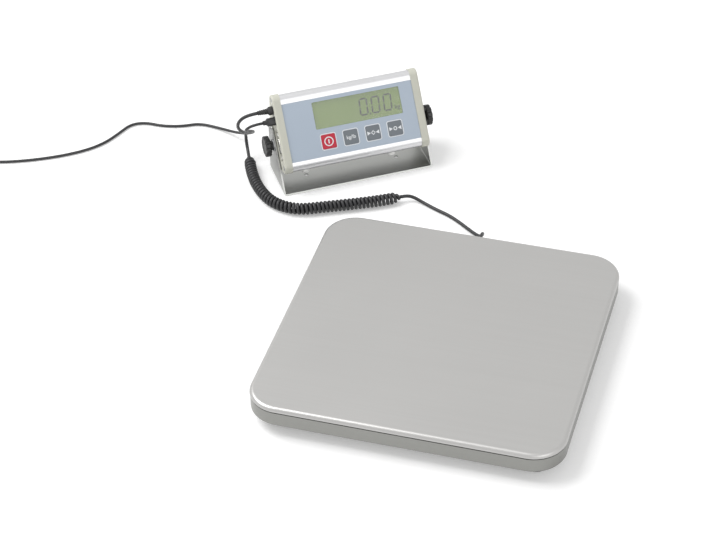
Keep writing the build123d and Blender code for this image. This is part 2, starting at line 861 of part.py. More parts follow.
plunger_end = panel_top + key_rise - key_pad - key_travel - housing_wall
with BuildPart() as board_parts:
    with BuildSketch(display.offset(circuit_front)):
        with Locations((key_row_x, key_row_y)):
            with GridLocations(key_pitch, 0, 4, 1):
                Rectangle(switch_side, switch_side)
    extrude(amount=switch_high)
    with BuildSketch(display.offset(circuit_front)):
        with Locations((key_row_x, key_row_y)):
            with GridLocations(key_pitch, 0, 4, 1):
                Circle(switch_button / 2)
    extrude(amount=plunger_end - key_travel - 0.1 - circuit_front)
    with BuildSketch(display.offset(circuit_front - circuit_thick)):
        with Locations((chip_x, chip_y)):
            Rectangle(chip_side, chip_side)
        with Locations((driver_x, driver_y)):
            Rectangle(driver_long, driver_wide)
    extrude(amount=-chip_high)
    with BuildSketch(display.offset(circuit_front - circuit_thick)):
        with Locations((buzzer_x, buzzer_y)):
            Circle(buzzer_dia / 2)
    extrude(amount=-buzzer_high)
save(board_parts, "board_parts")

# Bumpers: two white rubber pads under the display's lower edge
under_face = Plane(
    origin=display.from_local_coords((0, face_bottom + cap_proud, 0)), x_dir=right, z_dir=-upward
)
with BuildPart() as bumpers:
    with BuildSketch(under_face):
        with Locations((bumper_left, bumper_front), (bumper_right, bumper_front)):
            Circle(bumper_dia / 2)
    extrude(amount=bumper_high)
    fillet(bumpers.faces().group_by(Axis(pivot, -upward))[-1].edges(), 1.6)
save(bumpers, "bumpers")

# Sockets on the left end: a round one for the coil cord, a square one for the power lead
left_face = outward(-1, display_width / 2)
with BuildPart() as coil_socket:
    with BuildSketch(left_face.offset(socket_proud)):
        with Locations((coil_socket_up, -socket_front)):
            Circle(coil_socket_dia / 2)
            Circle(socket_bore / 2, mode=Mode.SUBTRACT)
    extrude(amount=-(cap_width + socket_proud))
    with BuildSketch(left_face.offset(-cap_width)):
        with Locations((coil_socket_up, -socket_front)):
            Circle(coil_socket_dia / 2)
    extrude(amount=socket_back)
save(coil_socket, "coil_socket")

with BuildPart() as dc_socket:
    with BuildSketch(left_face.offset(socket_proud)):
        with Locations((dc_socket_up, -socket_front)):
            RectangleRounded(dc_socket_side, dc_socket_side, 1)
            Circle(dc_barrel_dia / 2 + 0.15, mode=Mode.SUBTRACT)
    extrude(amount=-(cap_width + socket_proud))
    with BuildSketch(left_face.offset(-cap_width)):
        with Locations((dc_socket_up, -socket_front)):
            RectangleRounded(dc_socket_side, dc_socket_side, 1)
    extrude(amount=socket_back)
save(dc_socket, "dc_socket")

# Serial port: flange, slanted shell with its pin block, and two jack screws, sunk in the left cap
pocket_floor = left_face.offset(-port_pocket)
with BuildPart() as serial_port:
    with BuildSketch(pocket_floor):
        with Locations((port_up, -port_front)):
            RectangleRounded(port_length, port_width, 1)
    extrude(amount=port_flange)
    with BuildSketch(pocket_floor.offset(port_flange)):
        with Locations((port_up, -port_front)):
            Trapezoid(port_shell_long, port_shell_wide, port_slope, rotation=180)
    extrude(amount=port_shell_high)
    with BuildSketch(pocket_floor.offset(port_flange + port_shell_high)):
        with Locations((port_up, -port_front + pin_rows / 2)):
            with GridLocations(pin_pitch, 0, 5, 1):
                Circle(pin_bore / 2)
        with Locations((port_up, -port_front - pin_rows / 2)):
            with GridLocations(pin_pitch, 0, 4, 1):
                Circle(pin_bore / 2)
    extrude(amount=-2.5, mode=Mode.SUBTRACT)
    with BuildSketch(pocket_floor):
        with Locations((port_up, -port_front)):
            Rectangle(port_shell_long, port_shell_wide)
    extrude(amount=-port_block)
    with BuildSketch(pocket_floor.offset(port_flange)):
        with Locations((port_up, -port_front)):
            with GridLocations(jack_spacing, 0, 2, 1):
                RegularPolygon(jack_flats / 2, 6, major_radius=False)
                Circle(jack_bore / 2, mode=Mode.SUBTRACT)
    extrude(amount=jack_high)
save(serial_port, "serial_port")

# Coil plug with its ribbed strain relief
coil_axis = Plane(
    origin=left_face.from_local_coords((coil_socket_up, -socket_front, socket_proud)),
    x_dir=upward,
    z_dir=left_face.z_dir,
)
relief_end = coil_plug_long + relief_long
with BuildPart() as coil_plug:
    with BuildSketch(coil_axis):
        Circle(coil_plug_dia / 2)
    extrude(amount=coil_plug_long)
    chamfer(coil_plug.faces().sort_by(Axis(pivot, left_face.z_dir))[-1].edges(), 0.8)
    with BuildSketch(coil_axis):
        Circle(socket_bore / 2 - 0.15)
    extrude(amount=-socket_body)
    with BuildSketch(coil_axis.offset(coil_plug_long)):
        Circle(relief_thick / 2)
    with BuildSketch(coil_axis.offset(relief_end)):
        Circle(relief_thin / 2)
    loft()
    for rib in range(relief_ribs):
        station = coil_plug_long + relief_long * (rib + 0.6) / (relief_ribs + 0.4)
        with BuildSketch(coil_axis.offset(station)):
            Circle(relief_thick)
            Circle(relief_thin / 2 - 0.25, mode=Mode.SUBTRACT)
        extrude(amount=rib_cut, mode=Mode.SUBTRACT)
save(coil_plug, "coil_plug")

# Power plug: moulded body, collar and barrel
dc_axis = Plane(
    origin=left_face.from_local_coords((dc_socket_up, -socket_front, socket_proud)),
    x_dir=upward,
    z_dir=left_face.z_dir,
)
with BuildPart() as dc_plug:
    with BuildSketch(dc_axis):
        RectangleRounded(dc_plug_side, dc_plug_side, 2.2)
    extrude(amount=dc_plug_long)
    chamfer(dc_plug.faces().sort_by(Axis(pivot, left_face.z_dir))[-1].edges(), 1.2)
    with BuildSketch(dc_axis.offset(dc_plug_long)):
        Circle(dc_collar_dia / 2)
    extrude(amount=dc_collar_long)
    with BuildSketch(dc_axis):
        Circle(dc_barrel_dia / 2)
    extrude(amount=-dc_barrel_long)
save(dc_plug, "dc_plug")


# Cords: each route is a list of points, and its tube is straight runs joined by tangent arcs
def cord_radii(points):
    """Radius at each inner point: 0.45 of the shorter run over the tangent of half the turn."""
    radii = []
    for before, here, after in zip(points, points[1:], points[2:]):
        run_in = Vector(*here) - Vector(*before)
        run_out = Vector(*after) - Vector(*here)
        half_turn = math.radians(run_in.get_angle(run_out)) / 2
        radii.append(0.45 * min(run_in.length, run_out.length) / math.tan(half_turn))
    return radii


def cord_tube(label, routes, diameter):
    """Tubes of one diameter along these routes, as one node."""
    with BuildPart() as tube:
        wanted = 0
        for points in routes:
            radii = cord_radii(points)
            print(label, "radii", [round(radius, 1) for radius in radii])
            with BuildLine() as path:
                FilletPolyline(*points, radius=radii)
            line = path.wires()[0]
            with BuildSketch(Plane(origin=line @ 0, z_dir=line % 0)):
                Circle(diameter / 2)
            sweep(path=line)
            wanted = wanted + line.length * math.pi * diameter**2 / 4
    print(label, "length x section over volume", round(wanted / tube.part.volume, 4))
    save(tube, label)


relief_tip = coil_axis.from_local_coords((0, 0, relief_end))
relief_run = coil_axis.from_local_coords((0, 0, relief_end + plug_run))
tail_route = [
    (relief_tip.X, relief_tip.Y, relief_tip.Z),
    (relief_run.X, relief_run.Y, relief_run.Z),
    (-221.5, 127.0, 73.0),
    (-225.0, 132.5, 60.5),
    (-223.5, 143.0, 48.5),
    (-225.5, 155.0, 39.5),
    (-228.0, 163.4, 33.5),
    (-229.8, 169.2, 25.8),
    (-229.5, 169.0, 16.0),
    (-225.6, 161.7, 9.6),
    (-220.0, 149.5, 8.9),
]
coil_route = [
    (-220.0, 149.5, 8.9),
    (-212.0, 131.9, 6.7),
    (-199.0, 110.0, 6.6),
    (-180.6, 90.5, 6.6),
    (-162.3, 82.4, 6.6),
    (-142.3, 82.1, 6.6),
    (-120.0, 92.5, 6.6),
    (-93.0, 104.6, 6.6),
    (-67.0, 117.4, 6.6),
    (-50.6, 127.4, 6.6),
]
gland_tip = platform_y + pan_side / 2 + gland_hex + gland_dome
platform_route = [
    (-50.6, 127.4, 6.6),
    (-38.6, 134.7, 6.6),
    (-24.0, 131.5, 2.1),
    (-9.0, 124.0, 1.9),
    (8.0, 117.0, 1.9),
    (23.0, 107.0, 1.9),
    (36.0, 97.0, 1.9),
    (46.5, 89.0, 3.0),
    (51.5, 83.5, 11.0),
    (platform_x, gland_tip + gland_run, gland_height),
    (platform_x, gland_tip, gland_height),
]
cord_tube("coil_tail_display", [tail_route], coil_wire)
cord_tube("coil_cord", [coil_route], coil_outer)
cord_tube("coil_tail_platform", [platform_route], coil_wire)

collar_tip = dc_axis.from_local_coords((0, 0, dc_plug_long + dc_collar_long))
collar_run = dc_axis.from_local_coords((0, 0, dc_plug_long + dc_collar_long + collar_reach))
adapter_face = adapter_y + adapter_long / 2 + adapter_relief
lead_route = [
    (collar_tip.X, collar_tip.Y, collar_tip.Z),
    (collar_run.X, collar_run.Y, collar_run.Z),
    (-213.5, 126.0, 65.0),
    (-216.0, 133.5, 57.5),
    (-214.5, 145.0, 50.0),
    (-215.5, 156.5, 41.5),
    (-222.5, 169.5, 29.5),
    (-235.0, 183.0, 17.0),
    (-252.0, 195.5, 7.0),
    (-273.0, 205.5, 2.0),
    (-297.0, 209.0, 1.6),
    (-314.0, 199.0, 1.6),
    (-335.0, 194.0, 1.6),
    (-355.0, 195.5, 1.6),
    (-370.0, 188.0, 1.6),
    (-377.0, 167.0, 1.6),
    (-385.0, 148.0, 1.6),
    (-399.0, 131.0, 1.6),
    (-420.0, 115.0, 1.6),
    (-444.0, 101.5, 1.6),
    (-468.0, 91.0, 1.6),
    (-490.0, 84.5, 1.6),
    (-509.0, 84.6, 1.6),
]
lead_end_route = [
    (adapter_x - 3.5, adapter_face + 2.2 * adapter_run, lead_coil_high + 1.6),
    (adapter_x, adapter_face + adapter_run, adapter_high / 2),
    (adapter_x, adapter_face, adapter_high / 2),
]
cord_tube("power_lead", [lead_route, lead_end_route], lead_dia)

# Put-away coil of the power lead: a flat ring that its turns fill
with BuildPart() as power_lead_coil:
    with BuildSketch(Plane(origin=(lead_coil_x, lead_coil_y, 0.1))):
        Circle(lead_coil_radius + lead_coil_wide / 2)
        Circle(lead_coil_radius - lead_coil_wide / 2, mode=Mode.SUBTRACT)
    extrude(amount=lead_coil_high - 0.1)
    chamfer(power_lead_coil.faces().sort_by(Axis.Z)[-1].edges(), 1.5)
save(power_lead_coil, "power_lead_coil")

# Wall adapter lying on its side, with its strain relief and two mains pins
with BuildPart() as wall_adapter:
    with BuildSketch(Plane(origin=(adapter_x, adapter_y, 0))):
        RectangleRounded(adapter_wide, adapter_long, adapter_round)
    extrude(amount=adapter_high)
    fillet(wall_adapter.edges().group_by(Axis.Z)[-1], 2.5)
    fillet(wall_adapter.edges().group_by(Axis.Z)[0], 1.0)
    relief_plane = Plane(
        origin=(adapter_x, adapter_y + adapter_long / 2, adapter_high / 2), x_dir=(1, 0, 0), z_dir=(0, 1, 0)
    )
    with BuildSketch(relief_plane):
        Circle(adapter_relief_dia / 2)
    with BuildSketch(relief_plane.offset(adapter_relief)):
        Circle(lead_dia / 2 + 0.6)
    loft()
save(wall_adapter, "wall_adapter")

with BuildPart() as mains_pins:
    pin_plane = Plane(
        origin=(adapter_x, adapter_y - adapter_long / 2, adapter_high / 2), x_dir=(1, 0, 0), z_dir=(0, -1, 0)
    )
    with BuildSketch(pin_plane):
        with GridLocations(mains_pin_spacing, 0, 2, 1):
            Circle(mains_pin_dia / 2)
    extrude(amount=mains_pin_long)
    fillet(mains_pins.faces().group_by(Axis.Y)[0].edges(), 1.4)
save(mains_pins, "mains_pins")
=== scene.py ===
import math

import bmesh
import bpy
import numpy as np
from mathutils import Matrix


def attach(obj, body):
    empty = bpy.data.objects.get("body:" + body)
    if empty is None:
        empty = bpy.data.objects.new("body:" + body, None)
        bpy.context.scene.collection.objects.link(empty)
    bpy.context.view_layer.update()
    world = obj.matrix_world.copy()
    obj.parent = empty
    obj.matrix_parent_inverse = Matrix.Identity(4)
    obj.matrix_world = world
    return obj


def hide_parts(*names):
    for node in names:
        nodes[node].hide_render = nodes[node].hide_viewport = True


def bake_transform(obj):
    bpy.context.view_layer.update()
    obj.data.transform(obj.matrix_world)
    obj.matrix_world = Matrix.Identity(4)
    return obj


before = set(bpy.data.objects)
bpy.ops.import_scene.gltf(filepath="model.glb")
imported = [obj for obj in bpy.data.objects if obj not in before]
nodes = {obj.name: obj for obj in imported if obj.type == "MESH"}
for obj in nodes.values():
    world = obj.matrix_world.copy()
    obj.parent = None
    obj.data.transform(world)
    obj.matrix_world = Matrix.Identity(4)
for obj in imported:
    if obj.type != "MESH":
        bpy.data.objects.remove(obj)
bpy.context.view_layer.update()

# Viewpoint. A long lens looks down on the scale from in front and a little to its right,
# with the horizon turned by just over a degree.
view_azimuth = math.radians(17.01)
view_elevation = math.radians(38.70)
view_roll = math.radians(-1.39)
view_target = np.array([-0.05601, -0.00159, 0.00875])
view_distance = 2.3081
focal_pixels = 2309.0
picture_width = 716.0

backward = np.array(
    [
        math.sin(view_azimuth) * math.cos(view_elevation),
        -math.cos(view_azimuth) * math.cos(view_elevation),
        math.sin(view_elevation),
    ]
)
level_right = np.array([math.cos(view_azimuth), math.sin(view_azimuth), 0.0])
level_up = np.cross(backward, level_right)
rolled_right = level_right * math.cos(view_roll) + level_up * math.sin(view_roll)
rolled_up = level_up * math.cos(view_roll) - level_right * math.sin(view_roll)
camera_data = bpy.data.cameras.new("camera")
camera_data.sensor_width = 36.0
camera_data.lens = focal_pixels / picture_width * camera_data.sensor_width
camera_data.clip_end = 50.0
camera = bpy.data.objects.new("camera", camera_data)
bpy.context.scene.collection.objects.link(camera)
pose = np.eye(4)
pose[:3, 0] = rolled_right
pose[:3, 1] = rolled_up
pose[:3, 2] = backward
pose[:3, 3] = view_target + backward * view_distance
camera.matrix_world = Matrix(pose.tolist())
bpy.context.scene.camera = camera
bpy.context.scene.view_settings.view_transform = "Standard"


# Floor and backdrop. One wide pale sheet that keeps the soft shadows under the scale; to the
# camera, and in reflections, it glows a little so that it reads as white paper.
class Link:
    """A node socket that takes part in sums: an expression on links adds its Math nodes."""

    def __init__(self, tree, socket):
        self.tree = tree
        self.socket = socket

    def math(self, operation, *values):
        node = self.tree.nodes.new("ShaderNodeMath")
        node.operation = operation
        for slot, value in zip(node.inputs, values):
            self.tree.plug(slot, value)
        return Link(self.tree, node.outputs[0])

    def __add__(self, other):
        return self.math("ADD", self, other)

    def __radd__(self, other):
        return self.math("ADD", other, self)

    def __sub__(self, other):
        return self.math("SUBTRACT", self, other)

    def __rsub__(self, other):
        return self.math("SUBTRACT", other, self)

    def __mul__(self, other):
        return self.math("MULTIPLY", self, other)

    def __rmul__(self, other):
        return self.math("MULTIPLY", other, self)

    def __truediv__(self, other):
        return self.math("DIVIDE", self, other)

    def __gt__(self, other):
        return self.math("GREATER_THAN", self, other)

    def __lt__(self, other):
        return self.math("LESS_THAN", self, other)

    def __abs__(self):
        return self.math("ABSOLUTE", self)

    def low(self, other):
        return self.math("MINIMUM", self, other)

    def high(self, other):
        return self.math("MAXIMUM", self, other)


class Finish:
    """One material: its Principled shader, and the nodes that are worked out for it."""

    def __init__(self, name, colour, roughness, metallic=0.0, **fixed):
        self.material = bpy.data.materials.new(name)
        self.material.use_nodes = True
        self.nodes = self.material.node_tree.nodes
        self.links = self.material.node_tree.links
        self.shader = self.nodes["Principled BSDF"]
        self.shader.inputs["Base Color"].default_value = (*colour, 1.0)
        self.shader.inputs["Roughness"].default_value = roughness
        self.shader.inputs["Metallic"].default_value = metallic
        for name, value in fixed.items():
            self.shader.inputs[name.replace("_", " ")].default_value = value

    def plug(self, slot, value):
        """Joins a link to an input, or writes a plain number or colour on it."""
        if isinstance(value, Link):
            self.links.new(value.socket, slot)
        elif value is not None:
            slot.default_value = value

    def node(self, kind, settings=None, out=0, **values):
        """Adds a node of this type: its settings first, then its inputs by name or by index."""
        node = self.nodes.new(kind)
        for name, value in (settings or {}).items():
            if name == "stops":
                ramp = node.color_ramp.elements
                while len(ramp) < len(value):
                    ramp.new(0.5)
                for stop, (place, colour) in zip(ramp, value):
                    stop.position = place
                    stop.color = colour
            else:
                setattr(node, name, value)
        for name, value in values.items():
            key = int(name[2:]) if name.startswith("in") else name.replace("_", " ")
            self.plug(node.inputs[key], value)
        return Link(self, node.outputs[out])

    def place(self, scale=(1, 1, 1), turn=(0, 0, 0)):
        """Object coordinates, scaled and turned for a pattern."""
        point = self.node("ShaderNodeTexCoord", out="Object")
        return self.node("ShaderNodeMapping", in0=point, Scale=scale, Rotation=turn)

    def noise(self, place, size, detail=3.0, roughness=0.55):
        return self.node(
            "ShaderNodeTexNoise", in0=place, Scale=size, Detail=detail, Roughness=roughness
        )

    def mix(self, share, first, second):
        """Colour between two colours, by a share from 0 to 1."""
        node = self.nodes.new("ShaderNodeMix")
        node.data_type = "RGBA"
        self.plug(node.inputs[0], share)
        for slot, colour in ((node.inputs[6], first), (node.inputs[7], second)):
            self.plug(slot, colour if isinstance(colour, Link) else (*colour, 1.0))
        return Link(self, node.outputs[2])

    def colour(self, value):
        self.plug(self.shader.inputs["Base Color"], value)

    def roughness(self, value):
        self.plug(self.shader.inputs["Roughness"], value)

    def bump(self, height, distance, strength=1.0):
        """Relief in metres: height is 0 to 1, and distance its depth."""
        normal = self.node(
            "ShaderNodeBump", Height=height, Distance=distance, Strength=strength
        )
        self.plug(self.shader.inputs["Normal"], normal)


floor_colour = (0.86, 0.86, 0.86)
floor_glow = 0.26
floor_reach = 14.0

bpy.ops.mesh.primitive_plane_add(size=floor_reach, location=(0, 0, -0.0003))
floor = bpy.context.object
floor.name = "floor"
paper = Finish("paper", floor_colour, 0.9, Specular_IOR_Level=0.0)
rays = paper.nodes.new("ShaderNodeLightPath")
seen = Link(paper, rays.outputs["Is Camera Ray"]).high(Link(paper, rays.outputs["Is Glossy Ray"]))
glow = seen.high(Link(paper, rays.outputs["Is Transmission Ray"])) * floor_glow
paper.plug(paper.shader.inputs["Emission Color"], (1, 1, 1, 1))
paper.plug(paper.shader.inputs["Emission Strength"], glow)
floor.data.materials.append(paper.material)

# Studio light. A broad soft box above and behind on the left, a weaker one in front on the
# right, and an even pale surround that is pure white to the camera.
surround_level = 0.55
key_power = 62.0
fill_power = 14.0


def soft_box(name, place, aim, size, power):
    """An area lamp at place, turned to face aim."""
    data = bpy.data.lights.new(name, "AREA")
    data.shape = "RECTANGLE"
    data.size, data.size_y = size
    data.energy = power
    lamp = bpy.data.objects.new(name, data)
    bpy.context.scene.collection.objects.link(lamp)
    towards = np.array(place, float) - np.array(aim, float)
    towards /= np.linalg.norm(towards)
    across = np.cross([0.0, 0.0, 1.0], towards)
    across /= np.linalg.norm(across)
    turn = np.eye(4)
    turn[:3, 0] = across
    turn[:3, 1] = np.cross(towards, across)
    turn[:3, 2] = towards
    turn[:3, 3] = place
    lamp.matrix_world = Matrix(turn.tolist())
    return lamp


soft_box("key_box", (-1.7, -0.1, 2.5), (0, 0, 0), (1.8, 1.8), key_power)
soft_box("fill_box", (1.9, -1.8, 1.6), (0, 0, 0), (1.6, 1.6), fill_power)
world = bpy.data.worlds.new("surround")
world.use_nodes = True
bpy.context.scene.world = world
air = world.node_tree
sky = air.nodes["Background"]
sky.inputs["Color"].default_value = (1, 1, 1, 1)
path_rays = air.nodes.new("ShaderNodeLightPath")
brighter = air.nodes.new("ShaderNodeMath")
brighter.operation = "MAXIMUM"
brighter.inputs[0].default_value = surround_level
for ray in ("Is Camera Ray", "Is Glossy Ray", "Is Transmission Ray"):
    either = air.nodes.new("ShaderNodeMath")
    either.operation = "MAXIMUM"
    air.links.new(brighter.outputs[0], either.inputs[0])
    air.links.new(path_rays.outputs[ray], either.inputs[1])
    brighter = either
air.links.new(brighter.outputs[0], sky.inputs["Strength"])


# Base pan. A tray folded and drawn from 1.2 mm stainless sheet: it carries everything under the
# load plate, and only its wall shows, as a dark band below the plate's skirt. Its steel is coloured
# much darker than the load plate's same sheet: painted shade for that band under the skirt.
def brushed(name, colour, roughness=0.34, streak=(2.5, 420.0, 420.0), depth=0.000004):
    """Ground sheet metal: long fine scratches along X, with soft clouds in the sheen."""
    steel = Finish(name, colour, roughness, metallic=1.0)
    scratch = steel.noise(steel.place(scale=streak), 1.0, 4.0, 0.6)
    cloud = steel.noise(steel.place(), 7.0, 2.0)
    steel.roughness(roughness + (scratch - 0.5) * 0.10 + (cloud - 0.5) * 0.06)
    dull = tuple(0.90 * part for part in colour)
    steel.colour(steel.mix(scratch * 0.7 + cloud * 0.3, dull, colour))
    steel.bump(scratch, depth)
    return steel


def dress(finish, *names):
    """Gives these solids one finish."""
    for name in names:
        mesh = nodes[name].data
        mesh.materials.clear()
        mesh.materials.append(finish.material)


def rounded(name, body, finish, crease=30):
    """A solid's own mesh with its doubled points merged, so that its bends and fillets shade as
    curves and only edges past the crease angle stay sharp."""
    mesh = nodes[name].data.copy()
    shape = bmesh.new()
    shape.from_mesh(mesh)
    bmesh.ops.remove_doubles(shape, verts=shape.verts, dist=0.000001)
    shape.to_mesh(mesh)
    shape.free()
    mesh.polygons.foreach_set("use_smooth", [True] * len(mesh.polygons))
    mesh.set_sharp_from_angle(angle=math.radians(crease))
    mesh.materials.clear()
    mesh.materials.append(finish.material)
    piece = bpy.data.objects.new(name + "_finished", mesh)
    bpy.context.scene.collection.objects.link(piece)
    weights = piece.modifiers.new("even_shading", "WEIGHTED_NORMAL")
    weights.keep_sharp = True
    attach(piece, body)
    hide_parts(name)
    return piece


# Painted shade: this steel's colour is set well below the load plate's, so that the pan's wall reads as a dark band.
pan_steel = brushed("pan_steel", (0.30, 0.30, 0.285), 0.36)
rounded("base_pan", "base", pan_steel)

# Base rails, plate frame and stops. Folded and welded from zinc-plated steel strip; the rails sit
# on the pan's floor, the frame hangs under the load plate, and the stops stand between them.
plated = Finish("zinc_plate", (0.50, 0.51, 0.52), 0.42, metallic=1.0)
spangle = plated.node("ShaderNodeTexVoronoi", in0=plated.place(), Scale=260.0)
bloom = plated.noise(plated.place(), 40.0, 3.0)
plated.roughness(0.34 + spangle * 0.16 + bloom * 0.10)
plated.colour(plated.mix(bloom, (0.42, 0.43, 0.45), (0.56, 0.57, 0.57)))
dress(plated, "base_rails", "plate_frame", "overload_stops", "cell_screws", "foot_nuts")

# Load cells. Ground steel plates, slotted so that a tongue bends under the load; each has a black
# rubber button on its tongue.
ground = brushed("ground_steel", (0.46, 0.46, 0.44), 0.30, streak=(60.0, 900.0, 60.0))
dress(ground, *["load_cell_" + corner for corner in ("front_left", "front_right", "rear_left", "rear_right")])


def rubber(name, colour, roughness):
    """Moulded rubber: nearly matt, with a very fine uneven skin."""
    skin = Finish(name, colour, roughness)
    grain = skin.noise(skin.place(), 900.0, 2.0)
    dust = skin.noise(skin.place(), 60.0, 3.0)
    pale = tuple(min(1.0, 1.5 * part + 0.008) for part in colour)
    skin.colour(skin.mix(dust * 0.5, colour, pale))
    skin.roughness(roughness - 0.08 + grain * 0.16)
    skin.bump(grain, 0.00003)
    return skin


black_rubber = rubber("black_rubber", (0.028, 0.028, 0.028), 0.62)
dress(black_rubber, "load_buttons", "pivot_pads")

# Summing board. A green-lacquered glass-fibre board on pressed posts, with its tracks showing
# through the lacquer and four rows of screw terminals.
def lacquer(name, bare, track):
    """Board lacquer: straight tracks on a square grid, a little raised and paler."""
    board = Finish(name, bare, 0.35)
    grid = board.node(
        "ShaderNodeTexBrick", in0=board.place(), Scale=160.0, Mortar_Size=0.06, Brick_Width=1.9,
        Row_Height=0.9, out=1,
    )
    route = grid * (board.noise(board.place(), 55.0, 1.0) > 0.48)
    board.colour(board.mix(route, bare, track))
    board.roughness(0.34 - route * 0.10)
    board.bump(route, 0.00003)
    return board


board_green = lacquer("board_lacquer", (0.012, 0.085, 0.035), (0.06, 0.20, 0.09))
dress(board_green, "summing_board", "circuit_board")


def moulded(name, colour, roughness=0.45, grain_size=700.0, depth=0.00003):
    """Moulded plastic: spark-eroded grain, and a faint unevenness in its colour."""
    plastic = Finish(name, colour, roughness)
    grain = plastic.noise(plastic.place(), grain_size, 3.0, 0.6)
    flow = plastic.noise(plastic.place(), 22.0, 2.0)
    deep = tuple(0.93 * part for part in colour)
    plastic.colour(plastic.mix(flow, deep, colour))
    plastic.roughness(roughness - 0.06 + grain * 0.12)
    plastic.bump(grain, depth)
    return plastic


terminal_green = moulded("terminal_green", (0.03, 0.19, 0.07), 0.40)
dress(terminal_green, "terminal_blocks")
black_plastic = moulded("black_plastic", (0.018, 0.018, 0.019), 0.40)
rounded("cable_gland", "base", black_plastic)

# Levelling feet. A black rubber pad that stays on the floor, and a zinc-plated stud that screws
# up through the pan.
foot_places = {
    "front_left": (-1, -1),
    "front_right": (1, -1),
    "rear_left": (-1, 1),
    "rear_right": (1, 1),
}
platform_middle = np.array([0.05274, -0.09665])
foot_inset = 0.122
stud_radius = 0.00385
thread_pitch = 0.00125
thread_depth = 0.0005
stud_levels = (0.0062, 0.0240)

def add_piece(name, points, faces, finish, crease=None):
    """A mesh object at the origin from points, faces and one material; edges past the crease
    angle, in degrees, stay sharp."""
    mesh = bpy.data.meshes.new(name)
    mesh.from_pydata(np.asarray(points).tolist(), [], faces)
    mesh.polygons.foreach_set("use_smooth", [True] * len(mesh.polygons))
    if crease is not None:
        mesh.set_sharp_from_angle(angle=math.radians(crease))
    mesh.materials.append(finish.material)
    mesh.validate()
    piece = bpy.data.objects.new(name, mesh)
    bpy.context.scene.collection.objects.link(piece)
    return piece


def grid_faces(rows, columns, ring=False, flip=False):
    """Quads of a grid of rows by columns; ring joins the last column to the first."""
    across = columns if ring else columns - 1
    i, j = np.meshgrid(np.arange(rows - 1), np.arange(across), indexing="ij")
    after = (j + 1) % columns
    quads = np.stack(
        [i * columns + j, i * columns + after, (i + 1) * columns + after, (i + 1) * columns + j], -1
    ).reshape(-1, 4)
    return (quads[:, ::-1] if flip else quads).tolist()


def turned(name, heights, radii, finish, columns=48, crease=30):
    """A turned shape about Z: radii over heights, one ring of points for each, closed at both ends.
    The radii may be one for each ring, or a grid with one for each ring and column."""
    angle = np.linspace(0, 2 * math.pi, columns, endpoint=False)
    radii = np.asarray(radii, float)
    radii = radii if radii.ndim == 2 else np.repeat(radii[:, None], columns, 1)
    heights = np.asarray(heights, float)
    heights = heights if heights.ndim == 2 else np.repeat(heights[:, None], columns, 1)
    points = np.stack([radii * np.cos(angle), radii * np.sin(angle), heights], -1).reshape(-1, 3)
    faces = grid_faces(len(radii), columns, ring=True)
    faces.append(list(range(columns))[::-1])
    faces.append([(len(radii) - 1) * columns + k for k in range(columns)])
    return add_piece(name, points, faces, finish, crease)


def moved(piece, x=0.0, y=0.0, z=0.0):
    """Moves a piece by moving its points, so that its object stays at the origin."""
    piece.data.transform(Matrix.Translation((x, y, z)))
    return piece


for place, (across, along) in foot_places.items():
    rounded("foot_pad_" + place, "pad_" + place, black_rubber)
    rounded("foot_stud_" + place, "stud_" + place, plated)

# Load plate. A shallow pan drawn from 1.2 mm stainless sheet and turned upside down over the base:
# flat ground top, a rolled shoulder that catches the light, and a short skirt.
plate_half = 0.150
plate_corner = 0.032
plate_sheet = 0.0012
plate_shoulder = 0.0039
plate_top = 0.0335
plate_rim = 0.0291


def rounded_square(half, corner, steps=20):
    """Points round a square with quarter-circle corners, counter-clockwise: at each corner, the
    corner's centre plus its radius at angles through 90 degrees."""
    angle = np.linspace(0, math.pi / 2, steps + 1)[None, :] + np.arange(4)[:, None] * math.pi / 2
    centre = (half - corner) * np.array([[1, 1], [-1, 1], [-1, -1], [1, -1]])[:, None, :]
    return (centre + corner * np.stack([np.cos(angle), np.sin(angle)], -1)).reshape(-1, 2)


bend = np.linspace(0, math.pi / 2, 13)
outer_bend = np.c_[plate_shoulder * (1 - np.sin(bend)), plate_top - plate_shoulder * (1 - np.cos(bend))]
inner_reach = plate_shoulder - plate_sheet
inner_bend = np.c_[plate_shoulder - inner_reach * np.cos(bend), plate_top - plate_shoulder + inner_reach * np.sin(bend)]
profile = np.vstack(
    [
        [[plate_shoulder + 0.012, plate_top], [plate_shoulder + 0.0006, plate_top]],
        outer_bend,
        [[0.0, plate_rim + 0.0002], [0.0002, plate_rim], [plate_sheet - 0.0002, plate_rim]],
        [[plate_sheet, plate_rim + 0.0002]],
        inner_bend,
        [[plate_shoulder + 0.0006, plate_top - plate_sheet], [plate_shoulder + 0.012, plate_top - plate_sheet]],
    ]
)
rings = [
    np.c_[rounded_square(plate_half - inset, plate_corner - inset), np.full(84, level)]
    for inset, level in profile
]
plate_points = np.vstack(rings) + [*platform_middle, 0.0]
plate_faces = grid_faces(len(rings), 84, ring=True, flip=True)
plate_faces.append(list(range(84)))
plate_faces.append([(len(rings) - 1) * 84 + k for k in range(84)][::-1])
plate_steel = brushed("plate_steel", (0.50, 0.495, 0.485), 0.40)
plate = add_piece("weighing_plate", plate_points, plate_faces, plate_steel, 50)
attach(plate, "plate")
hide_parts("load_plate")

# Stand. One piece of 1.5 mm stainless sheet, bent up at both ends into the ears that hold the
# display; its base plate lies flat on the floor.
stand_steel = brushed("stand_steel", (0.42, 0.425, 0.41), 0.36)
rounded("stand_bracket", "base", stand_steel)

# Display housing. An aluminium extrusion, satin anodised: straight faint drawing lines run its
# whole length, and its front and back rolls catch the light as bands.
pivot = np.array([-0.12039, 0.18450, 0.04050])
to_right = np.array([0.83292, 0.55339, 0.0])
to_top = np.array([-0.31741, 0.47774, 0.81915])
to_front = np.array([0.45331, -0.68229, 0.57358])


def on_display(points):
    """Places points given in millimetres across, up and out from the display's pivot."""
    points = np.atleast_2d(points) / 1000.0
    return pivot + points[:, :1] * to_right + points[:, 1:2] * to_top + points[:, 2:3] * to_front


